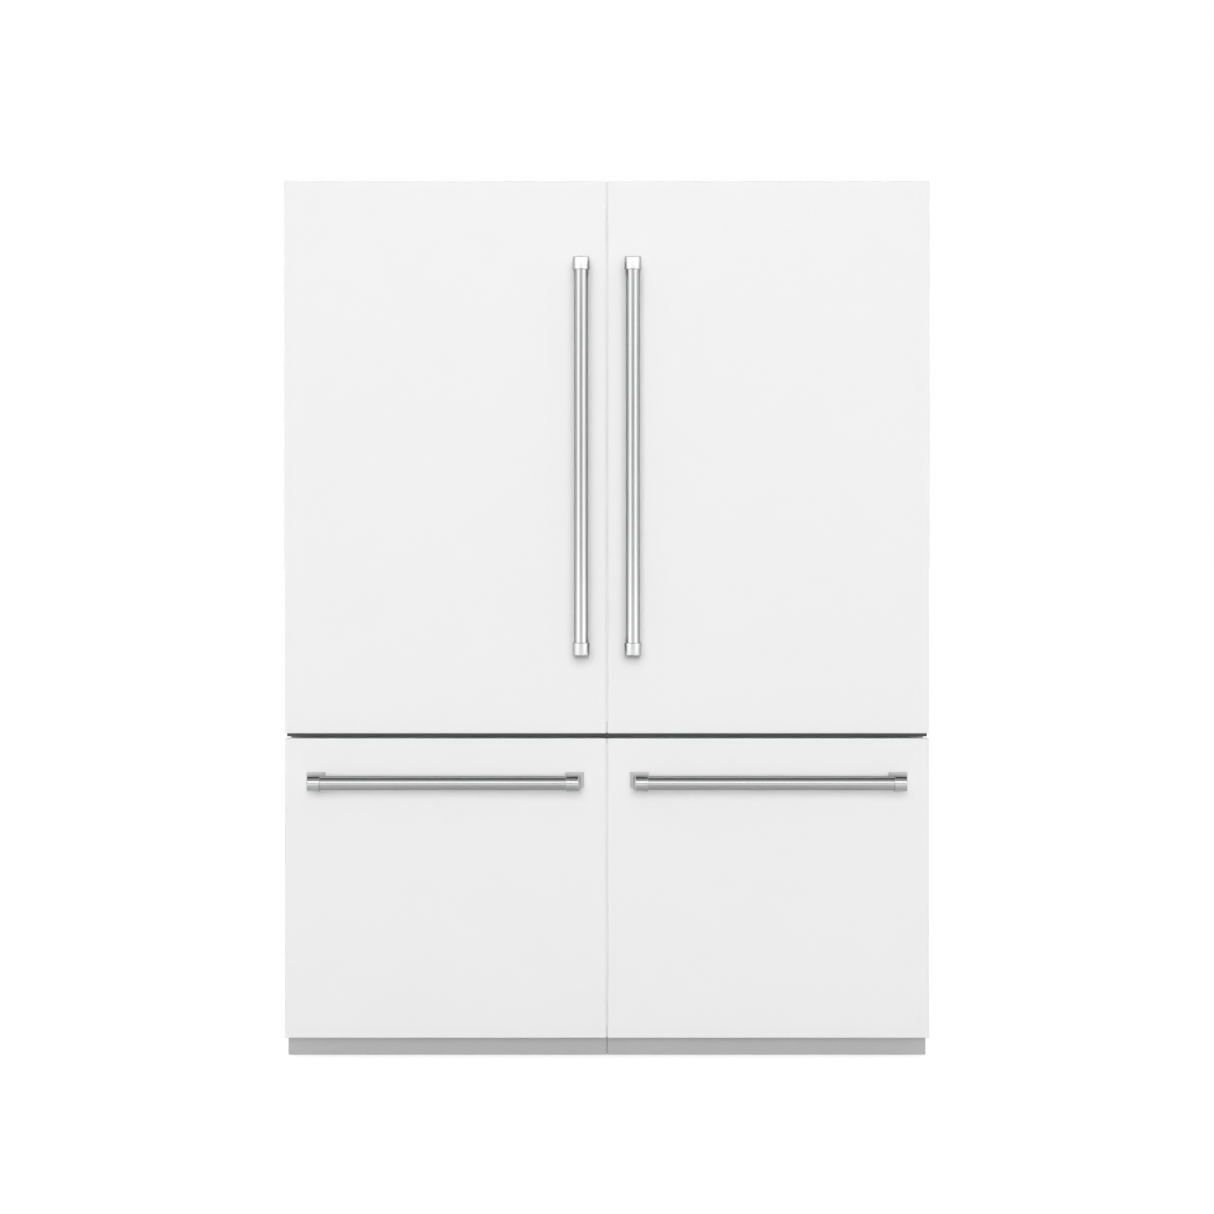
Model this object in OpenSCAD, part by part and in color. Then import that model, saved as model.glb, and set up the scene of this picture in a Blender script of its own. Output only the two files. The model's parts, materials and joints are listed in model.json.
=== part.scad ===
// French door refrigerator: two bottom-freezer units stand side by side, each with one tall
// insulated door above one freezer drawer. The doors hinge on the two outer sides.
// Millimetres. X points right, Y to the back and Z up. The origin is on the floor, in the
// middle of the width and of the whole depth. Modules draw the right unit; mirroring makes the left.

/* [Overall] */
// Width of one unit, from the centre line to the outer edge of its panels
unit_w = 758; // [640:1:920]
// Depth of the insulated cabinet behind the door seals
cabinet_d = 528; // [440:1:640]
// Height of the lower edge of the drawer panels above the floor
panel_bottom_z = 58; // [52:1:90]
// Height of the freezer drawer panels
drawer_h = 704; // [640:1:850]
// Height of the refrigerator door panels
door_h = 1298; // [1080:1:1560]

/* [Panels] */
// Thickness of the door and drawer panels
panel_t = 20; // [12:1:30]
// Gap between the door panels and the drawer panels
panel_gap = 12; // [10:1:18]
// Gap between the left and the right panels
centre_gap = 4; // [3:1:8]
// Inset of the insulated bodies from the edges of their panels
body_inset = 3; // [2:1:8]
// Depth of the insulated door and drawer bodies
body_d = 60; // [50:1:75]
// Space between those bodies and the cabinet front
seal_gap = 12; // [10:1:16]

/* [Cabinet] */
// Height of the cabinet base above the floor
case_bottom_z = 40; // [34:1:50]
// Inset of the cabinet sides from the outer edges of the panels
case_inset = 2; // [1:1:10]
// Thickness of the cabinet's sheet steel
steel_t = 1.5; // [1:0.1:3]
// Thickness of the plastic liners
liner_t = 3; // [2:0.5:5]
// Thickness of the insulated side and rear walls, steel and liner included
wall_t = 50; // [40:1:65]
// Thickness of the insulated roof
roof_t = 60; // [45:1:80]
// Thickness of the divider between refrigerator and freezer
divider_t = 70; // [56:1:90]
// Thickness of the insulated floor under the freezer
floor_t = 70; // [50:1:90]
// Depth of the machine compartment at the lower rear
machine_d = 190; // [170:1:220]
// Height of the machine compartment above the cabinet base
machine_h = 280; // [260:1:320]
// Insulation between the freezer and the machine compartment
machine_wall_t = 45; // [35:1:60]
// Set-back of the machine compartment grille from the rear plane
grille_setback = 27; // [24:1:40]

/* [Base] */
// Set-back of the toe kick from the front of the panels
toe_setback = 55; // [45:1:70]
// Thickness of the toe kick's steel
toe_t = 2; // [1:0.5:3]
// Height of the lower edge of the toe kick above the floor
toe_bottom_z = 5; // [2:1:15]
// Height of the toe kick
toe_h = 67; // [55:1:68]
// Distance of the levelling legs from the cabinet's edges
leg_inset = 42; // [36:1:100]
// Diameter of the levelling leg pads
leg_pad_d = 44; // [30:1:60]
// Height of the levelling leg pads
leg_pad_h = 10; // [6:1:14]
// Diameter of the levelling leg stems
leg_stem_d = 12; // [8:1:16]

/* [Hinges] */
// Distance of the hinge axis from the outer edge of the door panel
hinge_side = 18; // [16:1:24]
// Distance of the hinge axis behind the front of the door panel
hinge_back = 40; // [36:1:50]
// Angle to which the doors open
door_swing = 110; // [90:1:115]
// Thickness of the top hinge plates
hinge_plate_t = 6; // [4:1:8]
// Width of the top hinge plates
hinge_plate_w = 30; // [24:1:40]
// Length of the top hinge plates
hinge_plate_l = 200; // [120:1:240]
// Diameter of the hinge pins
pin_d = 12; // [8:1:16]
// Depth of the hinge pins in the door bodies
pin_depth = 20; // [12:1:40]
// Radial running clearance of the hinge pins and the fan shafts
running_fit = 0.05; // [0.02:0.01:0.1]
// Set-back of the dark hinge rail from the front of the panels
rail_setback = 27; // [20:1:27]
// Clearance above and below the hinge rail
rail_clear = 2; // [1:0.5:3]

/* [Handles] */
// Diameter of the handle bars
bar_d = 32; // [24:1:36]
// Diameter of the collars that hold the bars
collar_d = 40; // [37:1:46]
// Length of the collars
collar_l = 31; // [24:1:40]
// Distance of the bar axis from the panel
bar_reach = 70; // [55:1:80]
// Length of a post along the bar, at the panel
post_root = 45; // [42:1:60]
// Taper of the outer end of a post, from the panel to the collar
post_taper = 10; // [4:1:11]
// Width of a post across the bar
post_w = 38; // [30:1:39]
// Length of the door handles over their posts
door_handle_l = 946; // [700:1:1060]
// Distance of the door handles from the centre line
door_handle_x = 60; // [45:1:90]
// Length of the drawer handles over their posts
drawer_handle_l = 652; // [500:1:680]
// Distance of the drawer handles below the top of the drawer panels
drawer_handle_drop = 96; // [70:1:160]

/* [Refrigerator interior] */
// Height of the crisper drawers
crisper_h = 224; // [180:1:260]
// Width of the cheeks beside the crisper, which keep it clear of the open door
cheek_w = 46; // [42:1:60]
// Thickness of the cover over the crisper
cover_t = 12; // [8:1:16]
// Set-back of the crisper from the cabinet front
crisper_setback = 43; // [40:1:60]
// Spacing of the shelves
shelf_pitch = 240; // [200:1:280]
// Set-back of the shelves from the cabinet front
shelf_setback = 128; // [124:1:160]
// Thickness of the glass shelves
glass_t = 4; // [4:1:6]
// Height of the shelf frames
frame_h = 16; // [12:1:20]
// Width of the shelf frame's rim
frame_rim = 14; // [10:1:24]
// Width of the air duct cover on the rear wall
duct_w = 150; // [100:1:200]
// Depth of the air duct cover
duct_d = 14; // [10:1:24]

/* [Door interior] */
// Height that the door's inner liner stands proud of the door body
pan_d = 20; // [14:1:24]
// Clearance between that liner and the sides of the opening
pan_clear = 8; // [6:1:12]
// Width of the upright ribs that carry the bins
rib_w = 30; // [20:1:40]
// Depth of the upright ribs beyond the door body
rib_d = 45; // [36:1:60]
// Depth of the door bins
bin_d = 107; // [90:1:108]
// Height of the door bins
bin_h = 110; // [80:1:130]
// Spacing of the door bins
bin_pitch = 240; // [200:1:280]

/* [Freezer interior] */
// Length of the drawer slides
slide_l = 395; // [300:1:396]
// Height of the drawer slides
slide_h = 46; // [36:1:56]
// Height of the drawer slides above the freezer floor
slide_rise = 320; // [300:1:340]
// Thickness of the drawer slides, all three members together
slide_t = 16.5; // [14:0.5:20]
// Height of the freezer basket
basket_h = 330; // [280:1:350]
// Wall of the basket, the tray, the bins and the crispers
wall_thin = 3; // [2:0.5:5]
// Height of the upper freezer tray
tray_h = 140; // [100:1:150]
// Depth of the space that holds the evaporator behind its cover
evaporator_d = 65; // [60:1:90]

/* [Machinery] */
// Diameter of the compressor
compressor_d = 150; // [120:1:160]
// Height of the compressor
compressor_h = 190; // [160:1:220]
// Diameter of the condenser fans
condenser_fan_d = 130; // [100:1:140]
// Diameter of the evaporator fans
evaporator_fan_d = 100; // [80:1:120]
// Diameter of the fan shafts
shaft_d = 6; // [4:1:10]
// Diameter of the water inlet stub
inlet_d = 6.35; // [6:0.05:10]
// Length of the water inlet stub
inlet_l = 18; // [12:1:20]

/* [Fixing] */
// Length of the bracket that ties the units together and to the building
tie_l = 300; // [260:1:400]
// Width of that bracket
tie_w = 60; // [50:1:80]
// Thickness of that bracket
tie_t = 3; // [2:1:6]
// Spacing of its holes along X
tie_hole_x = 200; // [160:1:240]
// Spacing of its holes along Y
tie_hole_y = 30; // [20:1:40]
// Diameter of its holes
tie_hole_d = 7; // [5:1:9]

/* [Hidden] */
$fn = 48;
// Overrun of a cut past the face that it opens
over = 1;
// Gap that keeps moving faces apart
slack = 0.5;

// Depth positions, from the back forwards
handle_reach = bar_reach + collar_d / 2;
total_d = handle_reach + panel_t + body_d + seal_gap + cabinet_d;
y_back = total_d / 2;
y_sheet = y_back - steel_t;
y_case = y_back - cabinet_d;
y_body = y_case - seal_gap;
y_panel = y_body - body_d;
y_face = y_panel - panel_t;
y_machine = y_back - machine_d;
y_grille = y_back - grille_setback;
y_hinge = y_face + hinge_back;

// Widths of the right unit
x_in = centre_gap / 2;
x_case = unit_w - case_inset;
bay_x0 = x_in + wall_t;
bay_x1 = x_case - wall_t;
bay_xm = (bay_x0 + bay_x1) / 2;
panel_xm = (x_in + unit_w) / 2;
x_hinge = unit_w - hinge_side;
// The top hinge plate stays inside the path of the open door panel's rear corner
corner_x = hinge_side * cos(door_swing) + (hinge_back - panel_t) * sin(door_swing);
hinge_plate_x1 = x_hinge + min(hinge_side - case_inset - 2, corner_x - 1.5);

// Heights
drawer_top_z = panel_bottom_z + drawer_h;
door_bottom_z = drawer_top_z + panel_gap;
door_top_z = door_bottom_z + door_h;
case_top_z = door_top_z - hinge_plate_t;
divider_z = (drawer_top_z + door_bottom_z) / 2;
fridge_z0 = divider_z + divider_t / 2;
fridge_z1 = case_top_z - roof_t;
freezer_z0 = case_bottom_z + floor_t;
freezer_z1 = divider_z - divider_t / 2;
machine_z1 = case_bottom_z + machine_h;
step_z = machine_z1 + machine_wall_t;

// Compartment depths
bay_y1 = y_back - wall_t;
step_y = y_machine - machine_wall_t;
evaporator_y = bay_y1 - evaporator_d;

// Door and drawer bodies, a little smaller than their panels
hinge_room = 8;
toe_room = 12;
rail_room = 10;
door_body_z0 = door_bottom_z + hinge_room - rail_clear;
door_body_z1 = case_top_z - hinge_room;
drawer_body_z0 = toe_bottom_z + toe_h + toe_room;
drawer_body_z1 = drawer_top_z - rail_room;

// Gasket rings lie on the cabinet front, round the openings
seal_in = 2;
seal_out = 20;
seal_d = seal_gap - 0.4;

// Refrigerator levels
crisper_z0 = fridge_z0 + 9;
crisper_z1 = crisper_z0 + crisper_h;
cover_z0 = crisper_z1 + 12;
cover_z1 = cover_z0 + cover_t;
crisper_y0 = y_case + crisper_setback;
crisper_y1 = bay_y1 - 35;
shelf_y0 = y_case + shelf_setback;
shelf_y1 = bay_y1 - duct_d - slack;
shelf_room = 120;
shelf_n = floor((fridge_z1 - shelf_room - cover_z1) / shelf_pitch);
shelf_zs = [for (i = [1:shelf_n]) cover_z1 + i * shelf_pitch];
bin_first_z = cover_z1 + 40;
bin_n = floor((fridge_z1 - 30 - bin_h - bin_first_z) / bin_pitch) + 1;
bin_zs = [for (i = [0:bin_n - 1]) bin_first_z + i * bin_pitch];

// Door liner
pan_x0 = bay_x0 + pan_clear;
pan_x1 = bay_x1 - pan_clear;
pan_z0 = fridge_z0 + pan_clear;
pan_z1 = fridge_z1 - pan_clear;
rib_z0 = bin_first_z - 20;

// Freezer levels
pad_d = 15;
pad_clear = 6;
slide_z0 = freezer_z0 + slide_rise;
slide_z1 = slide_z0 + slide_h;
slide_y0 = y_body + pad_d + 5;
member_t = (slide_t - 3 * slack - 2) / 2;
lip_h = 4;
basket_x0 = bay_x0 + slide_t;
basket_x1 = bay_x1 - slide_t;
basket_z0 = freezer_z0 + 10;
basket_y0 = y_body + pad_d + 2;
basket_y1 = step_y - 8;
tray_z0 = slide_z1 + 24;
tray_z1 = tray_z0 + tray_h;
tray_rim = 8;
tray_y0 = y_body + pad_d + 10;
tray_y1 = evaporator_y - 15;
ledge_w = 10;

// Fans
evaporator_fan_z = freezer_z1 - 16 - evaporator_fan_d / 2;
evaporator_fan_y = evaporator_y + 8;
condenser_fan_x = x_in + 330;
condenser_fan_y = y_machine + 10 + condenser_fan_d / 2;
condenser_fan_z = case_bottom_z + 60 + condenser_fan_d / 2;
fan_w = 22;
hub_r = 16;

SIDES = ["left", "right"];
SHARED = [
    "insulation", "fridge_liners", "freezer_liners", "rear_covers", "toe_kicks", "hinge_rails",
    "top_hinges", "leveling_legs", "tie_bracket", "glass_shelves", "shelf_frames",
    "led_light_bars", "control_panels", "crisper_frames", "air_covers", "evaporators",
    "compressors", "condensers", "freezer_rails", "rear_fittings"
];
SIDED = [
    "cabinet_shell", "door_panel", "door_body", "door_liner", "door_gasket", "door_bins",
    "door_handle_bar", "door_handle_posts", "drawer_panel", "drawer_body", "drawer_gasket",
    "drawer_handle_bar", "drawer_handle_posts", "drawer_slides", "slide_middles",
    "freezer_basket", "freezer_tray", "crisper", "evaporator_fan", "condenser_fan"
];

// ---- helpers ----

// A box between two opposite corners
module span(lo, hi) {
    translate(lo) cube(hi - lo);
}

// Draws the children for one unit
module unit(side) {
    mirror([side == "left" ? 1 : 0, 0, 0]) children();
}

// Draws the children for both units
module both() {
    for (s = SIDES) unit(s) children();
}

// A box open at the top
module tub(lo, hi, t) {
    difference() {
        span(lo, hi);
        span(lo + [t, t, t], hi + [-t, -t, over]);
    }
}

// A cylinder along Y, from a point on its axis
module rod_y(at, r, l) {
    translate(at) rotate([-90, 0, 0]) cylinder(r = r, h = l);
}

// A cylinder along X, from a point on its axis
module rod_x(at, r, l) {
    translate(at) rotate([0, 90, 0]) cylinder(r = r, h = l);
}

// A flat ring between two rectangles in the XZ plane
module seal_ring(x0, x1, z0, z1) {
    difference() {
        span([x0 - seal_out, y_body, z0 - seal_out], [x1 + seal_out, y_body + seal_d, z1 + seal_out]);
        span([x0 - seal_in, y_body - over, z0 - seal_in], [x1 + seal_in, y_case, z1 + seal_in]);
    }
}

// The freezer's inside, grown by g on every side, stepped over the machine compartment
module freezer_space(g, front) {
    translate([bay_x0 - g, 0, 0])
        rotate([90, 0, 90])
            linear_extrude(bay_x1 - bay_x0 + 2 * g)
                polygon([
                    [front, freezer_z0 - g], [step_y + g, freezer_z0 - g],
                    [step_y + g, step_z - g], [bay_y1 + g, step_z - g],
                    [bay_y1 + g, freezer_z1 + g], [front, freezer_z1 + g]
                ]);
}

// The refrigerator's inside, grown by g on every side
module fridge_space(g, front) {
    span([bay_x0 - g, front, fridge_z0 - g], [bay_x1 + g, bay_y1 + g, fridge_z1 + g]);
}

// Fan wheel along Z with a bore for its shaft
module fan_wheel(d, blades) {
    difference() {
        union() {
            cylinder(r = hub_r, h = fan_w);
            intersection() {
                for (i = [0:blades - 1])
                    rotate(i * 360 / blades)
                        translate([hub_r - 3, 0, fan_w / 2])
                            rotate([38, 0, 0])
                                translate([0, -fan_w / 2, -1])
                                    cube([d / 2, fan_w, 2]);
                cylinder(r = d / 2, h = fan_w);
            }
        }
        translate([0, 0, -over]) cylinder(d = shaft_d + 2 * running_fit, h = fan_w + 2 * over);
    }
}

// ---- cabinet ----

module cabinet_shell() {
    color("silver")
        difference() {
            span([x_in, y_case, case_bottom_z], [x_case, y_sheet, case_top_z]);
            span([x_in + steel_t, y_case + steel_t, case_bottom_z + steel_t],
                 [x_case - steel_t, y_back, case_top_z - steel_t]);
            intersection() {
                fridge_space(liner_t, y_case - over);
                span([x_in, y_case - over, case_bottom_z], [x_case, y_case + steel_t + over, case_top_z]);
            }
            intersection() {
                freezer_space(liner_t, y_case - over);
                span([x_in, y_case - over, case_bottom_z], [x_case, y_case + steel_t + over, case_top_z]);
            }
            tie_holes();
        }
}

module insulation() {
    color("khaki")
        both()
            difference() {
                span([x_in + steel_t, y_case + steel_t, case_bottom_z + steel_t],
                     [x_case - steel_t, y_sheet, case_top_z - steel_t]);
                fridge_space(liner_t, y_case);
                freezer_space(liner_t, y_case);
                span([x_in, y_machine, case_bottom_z], [x_case, y_back, machine_z1]);
                tie_holes();
            }
}

module fridge_liners() {
    color("white")
        both()
            difference() {
                fridge_space(liner_t, y_case);
                fridge_space(0, y_case - over);
            }
}

module freezer_liners() {
    color("white")
        both()
            difference() {
                freezer_space(liner_t, y_case);
                freezer_space(0, y_case - over);
            }
}

module rear_covers() {
    slots = 12;
    slot_h = 6;
    slot_pitch = (machine_h - 80) / slots;
    color("gainsboro")
        both() {
            span([x_in, y_sheet, machine_z1], [x_case, y_back, case_top_z]);
            difference() {
                span([x_in + steel_t, y_grille, case_bottom_z + steel_t],
                     [x_case - steel_t, y_grille + steel_t, machine_z1]);
                for (i = [0:slots - 1], x = [x_in + 60, bay_xm + 20])
                    translate([x, y_grille - over, machine_z1 - 30 - i * slot_pitch])
                        cube([bay_xm - x_in - 90, steel_t + 2 * over, slot_h]);
                fitting_holes();
            }
        }
}

module toe_kick() {
    toe_x = 1;
    color("darkgray")
        difference() {
            span([toe_x, y_face + toe_setback, toe_bottom_z],
                 [unit_w - toe_x, y_case, toe_bottom_z + toe_h]);
            span([toe_x + toe_t, y_face + toe_setback + toe_t, toe_bottom_z - over],
                 [unit_w - toe_x - toe_t, y_case + over, toe_bottom_z + toe_h - toe_t]);
        }
}

module hinge_rail() {
    rail_z0 = drawer_top_z + rail_clear;
    rail_z1 = door_bottom_z - rail_clear;
    color("dimgray") {
        span([x_in, y_face + rail_setback, rail_z0], [x_case, y_case, rail_z1]);
        translate([x_hinge, y_hinge, rail_z0]) cylinder(d = pin_d, h = door_body_z0 + pin_depth - rail_z0);
        translate([x_hinge, y_hinge, rail_z0]) cylinder(r = 10, h = door_body_z0 - slack - rail_z0);
    }
}

module top_hinge() {
    color("dimgray") {
        span([hinge_plate_x1 - hinge_plate_w, y_hinge - 12, case_top_z],
             [hinge_plate_x1, y_hinge - 12 + hinge_plate_l, door_top_z]);
        translate([x_hinge, y_hinge, door_body_z1 - pin_depth])
            cylinder(d = pin_d, h = case_top_z + over - door_body_z1 + pin_depth);
    }
}

module leveling_legs() {
    nut_h = 8;
    color("dimgray")
        both()
            for (x = [x_in + leg_inset, x_case - leg_inset], y = [y_case + leg_inset, y_back - leg_inset])
                translate([x, y, 0]) {
                    cylinder(d = leg_pad_d, h = leg_pad_h);
                    translate([0, 0, leg_pad_h]) cylinder(r = leg_stem_d, h = nut_h, $fn = 6);
                    cylinder(d = leg_stem_d, h = case_bottom_z);
                }
}

module tie_holes() {
    for (s = [-1, 1])
        translate([tie_hole_x / 2, y_back - tie_w / 2 - 10 + s * tie_hole_y / 2, case_top_z - 30])
            cylinder(d = tie_hole_d, h = 40);
}

module tie_bracket() {
    color("gainsboro")
        difference() {
            span([-tie_l / 2, y_back - tie_w - 10, case_top_z],
                 [tie_l / 2, y_back - 10, case_top_z + tie_t]);
            both() tie_holes();
        }
}

// ---- refrigerator interior ----

module glass_shelves() {
    color("lightcyan", 0.5)
        both()
            for (z = shelf_zs)
                span([bay_x0 + frame_rim / 2, shelf_y0 + frame_rim / 2, z - glass_t],
                     [bay_x1 - frame_rim / 2, shelf_y1 - frame_rim / 2, z]);
}

module shelf_frames() {
    color("whitesmoke")
        both()
            for (z = shelf_zs)
                difference() {
                    span([bay_x0, shelf_y0, z - frame_h], [bay_x1, shelf_y1, z]);
                    span([bay_x0 + frame_rim, shelf_y0 + frame_rim, z - frame_h - over],
                         [bay_x1 - frame_rim, shelf_y1 - frame_rim, z + over]);
                    span([bay_x0 + frame_rim / 2, shelf_y0 + frame_rim / 2, z - glass_t],
                         [bay_x1 - frame_rim / 2, shelf_y1 - frame_rim / 2, z + over]);
                }
}

module led_light_bars() {
    bar_t = 6;
    color("ivory")
        both() {
            span([bay_x0 + 80, shelf_y0 - 30, fridge_z1 - bar_t], [bay_x1 - 80, shelf_y0, fridge_z1]);
            for (x = [bay_x0, bay_x1 - bar_t])
                span([x, shelf_y0 - 40, cover_z1 + 40], [x + bar_t, shelf_y0 - 20, fridge_z1 - 40]);
            span([bay_x0 + 80, y_case + 90, freezer_z1 - bar_t], [bay_x1 - 80, y_case + 120, freezer_z1]);
        }
}

module control_panels() {
    panel_w = 260;
    y0 = y_case + 13;
    color("white")
        both()
            translate([bay_xm - panel_w / 2, 0, 0])
                rotate([90, 0, 90])
                    linear_extrude(panel_w)
                        polygon([
                            [y0, fridge_z1], [y0, fridge_z1 - 4], [y0 + 30, fridge_z1 - 14],
                            [y0 + 80, fridge_z1 - 14], [y0 + 80, fridge_z1]
                        ]);
}

module crisper_frames() {
    color("whitesmoke")
        both() {
            span([bay_x0, crisper_y0 + 4, cover_z0], [bay_x1, crisper_y1 + 10, cover_z1]);
            span([bay_x0, crisper_y0 + 4, fridge_z0], [bay_x0 + cheek_w, crisper_y1 + 10, cover_z0]);
            span([bay_x1 - cheek_w, crisper_y0 + 4, fridge_z0], [bay_x1, crisper_y1 + 10, cover_z0]);
        }
}

module crisper() {
    lip_d = 14;
    x0 = bay_x0 + cheek_w + 4;
    x1 = bay_x1 - cheek_w - 4;
    color("aliceblue", 0.6) {
        tub([x0, crisper_y0, crisper_z0], [x1, crisper_y1, crisper_z1], wall_thin);
        span([x0, crisper_y0 - lip_d, crisper_z1 - wall_thin], [x1, crisper_y0 + over, crisper_z1]);
        span([x0, crisper_y0 - lip_d, crisper_z1 - 20], [x1, crisper_y0 - lip_d + wall_thin, crisper_z1]);
    }
}

module air_covers() {
    grille_r = evaporator_fan_d / 2 + 6;
    slot_n = 9;
    cut_y = evaporator_y - wall_thin - over;
    cut_d = wall_thin + 2 * over;
    color("whitesmoke")
        both() {
            difference() {
                span([bay_xm - duct_w / 2, bay_y1 - duct_d, cover_z1 + 20],
                     [bay_xm + duct_w / 2, bay_y1, fridge_z1 - 30]);
                span([bay_xm - duct_w / 2 + wall_thin, bay_y1 - duct_d + wall_thin, cover_z1 + 20 + wall_thin],
                     [bay_xm + duct_w / 2 - wall_thin, bay_y1 + over, fridge_z1 - 30 - wall_thin]);
                for (z = shelf_zs, i = [0:2])
                    translate([bay_xm - 40, bay_y1 - duct_d - over, z + 50 + 16 * i])
                        cube([80, duct_d, 7]);
            }
            difference() {
                span([bay_x0, evaporator_y - wall_thin, step_z], [bay_x1, evaporator_y, freezer_z1]);
                difference() {
                    rod_y([bay_xm, cut_y, evaporator_fan_z], grille_r, cut_d);
                    for (a = [0:60:120])
                        translate([bay_xm, evaporator_y, evaporator_fan_z])
                            rotate([0, a, 0])
                                cube([2 * grille_r + 2, 20, 5], center = true);
                    rod_y([bay_xm, cut_y, evaporator_fan_z], hub_r, cut_d);
                }
                for (i = [0:slot_n - 1])
                    translate([bay_x0 + 60 + i * (bay_x1 - bay_x0 - 150) / (slot_n - 1), cut_y, step_z + 20])
                        cube([30, cut_d, 8]);
            }
        }
}

// ---- refrigerating machinery ----

module evaporators() {
    fin_n = 22;
    fin_w = bay_x1 - bay_x0 - 140;
    y0 = evaporator_y + 12;
    y1 = bay_y1 - 4;
    z0 = step_z + 40;
    z1 = evaporator_fan_z - evaporator_fan_d / 2 - 30;
    color("lightsteelblue")
        both() {
            for (i = [0:fin_n - 1])
                span([bay_x0 + 70 + i * fin_w / (fin_n - 1), y0, z0],
                     [bay_x0 + 71.5 + i * fin_w / (fin_n - 1), y1, z1]);
            for (z = [z0 + 20:30:z1 - 10])
                rod_x([bay_x0 + 60, (y0 + y1) / 2, z], 4, fin_w + 22);
            for (x = [bay_x0 + 60, bay_x1 - 64])
                span([x, y0 + 8, z0 + 8], [x + 4, bay_y1, z1 - 4]);
            rod_y([bay_xm, evaporator_fan_y + fan_w + 4, evaporator_fan_z], 20,
                  bay_y1 - evaporator_fan_y - fan_w - 4);
            rod_y([bay_xm, evaporator_fan_y + 4, evaporator_fan_z], shaft_d / 2, fan_w + 2);
        }
}

module evaporator_fan() {
    color("black")
        translate([bay_xm, evaporator_fan_y, evaporator_fan_z])
            rotate([-90, 0, 0])
                fan_wheel(evaporator_fan_d, 5);
}

module compressors() {
    r = compressor_d / 2;
    foot_h = 18;
    dome_h = compressor_h - foot_h;
    cx = x_case - 100 - r;
    cy = (y_machine + y_grille) / 2;
    color("black")
        both()
            translate([cx, cy, case_bottom_z + steel_t]) {
                translate([0, 0, foot_h])
                    rotate_extrude()
                        polygon(concat(
                            [[0, 0], [r - 16, 0]],
                            [for (a = [0:15:90]) [r - 12 + 12 * sin(a), 12 - 12 * cos(a)]],
                            [for (a = [0:10:80]) [r * cos(a), dome_h - r * 0.7 + r * 0.7 * sin(a)]],
                            [[0, dome_h]]
                        ));
                for (x = [-r, r - 26], y = [-r, r - 26])
                    translate([x + 13, y + 13, 0]) cylinder(d = 26, h = foot_h);
                translate([-r, -r, foot_h - 3]) cube([2 * r, 2 * r, 4]);
            }
}

module condensers() {
    fin_n = 18;
    x0 = x_in + 70;
    x1 = condenser_fan_x - 40;
    y0 = y_machine + 12;
    y1 = y0 + condenser_fan_d - 4;
    z0 = case_bottom_z + steel_t + 14;
    z1 = condenser_fan_z + condenser_fan_d / 2 + 10;
    motor_x = condenser_fan_x + fan_w + 4;
    color("peru")
        both() {
            for (i = [0:fin_n - 1])
                span([x0 + i * (x1 - x0) / (fin_n - 1), y0, z0],
                     [x0 + 1.5 + i * (x1 - x0) / (fin_n - 1), y1, z1]);
            for (z = [z0 + 20:35:z1 - 10], y = [y0 + 30, y1 - 30])
                rod_x([x0 - 8, y, z], 4, x1 - x0 + 18);
            for (x = [x0 - 8, x1 + 6])
                span([x, y0 + 10, case_bottom_z + steel_t], [x + 4, y1 - 10, z1 - 4]);
            rod_x([motor_x, condenser_fan_y, condenser_fan_z], 26, 40);
            rod_x([condenser_fan_x + 4, condenser_fan_y, condenser_fan_z], shaft_d / 2, fan_w + 2);
            span([motor_x + 10, condenser_fan_y - 12, case_bottom_z + steel_t],
                 [motor_x + 30, condenser_fan_y + 12, condenser_fan_z]);
        }
}

module condenser_fan() {
    color("black")
        translate([condenser_fan_x, condenser_fan_y, condenser_fan_z])
            rotate([0, 90, 0])
                fan_wheel(condenser_fan_d, 6);
}

// Centres of the cord gland and of the water inlet on the machine grille
function gland_at() = [bay_xm - 12, y_grille, case_bottom_z + 26];
function inlet_at() = [bay_xm - 60, y_grille, case_bottom_z + 26];

module fitting_holes() {
    rod_y(gland_at() + [0, -over, 0], 9, steel_t + 2 * over);
    rod_y(inlet_at() + [0, -over, 0], inlet_d / 2, steel_t + 2 * over);
}

module rear_fittings() {
    plate = steel_t;
    color("goldenrod")
        both() {
            difference() {
                union() {
                    rod_y(gland_at() + [0, -10, 0], 9, 24);
                    rod_y(gland_at() + [0, plate, 0], 13, 6);
                }
                rod_y(gland_at() + [0, -10 - over, 0], 4.5, 24 + 2 * over);
            }
            rod_y(inlet_at() + [0, -14, 0], inlet_d / 2, 14 + plate + 4 + inlet_l);
            rod_y(inlet_at() + [0, plate, 0], 8, 4);
            rod_y(inlet_at() + [0, -24, 0], 11, 24);
        }
}

// ---- freezer interior ----

// A slide member on both side walls: its near face, thickness and heights, measured from each wall
module slide_pair(from_wall, t, y0, y1, z0, z1) {
    span([bay_x0 + from_wall, y0, z0], [bay_x0 + from_wall + t, y1, z1]);
    span([bay_x1 - from_wall - t, y0, z0], [bay_x1 - from_wall, y1, z1]);
}

module freezer_rails() {
    color("silver")
        both() {
            slide_pair(0, 2, slide_y0, slide_y0 + slide_l, slide_z0, slide_z1);
            slide_pair(0, member_t + 2, slide_y0, slide_y0 + slide_l, slide_z0, slide_z0 + lip_h);
            slide_pair(0, member_t + 2, slide_y0, slide_y0 + slide_l, slide_z1 - lip_h, slide_z1);
            slide_pair(0, ledge_w, tray_y0, tray_y1, tray_z1 - tray_rim - 8, tray_z1 - tray_rim);
        }
}

module slide_middles() {
    color("gainsboro")
        slide_pair(2 + slack, member_t, slide_y0, slide_y0 + slide_l,
                   slide_z0 + lip_h + slack, slide_z1 - lip_h - slack);
}

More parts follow.
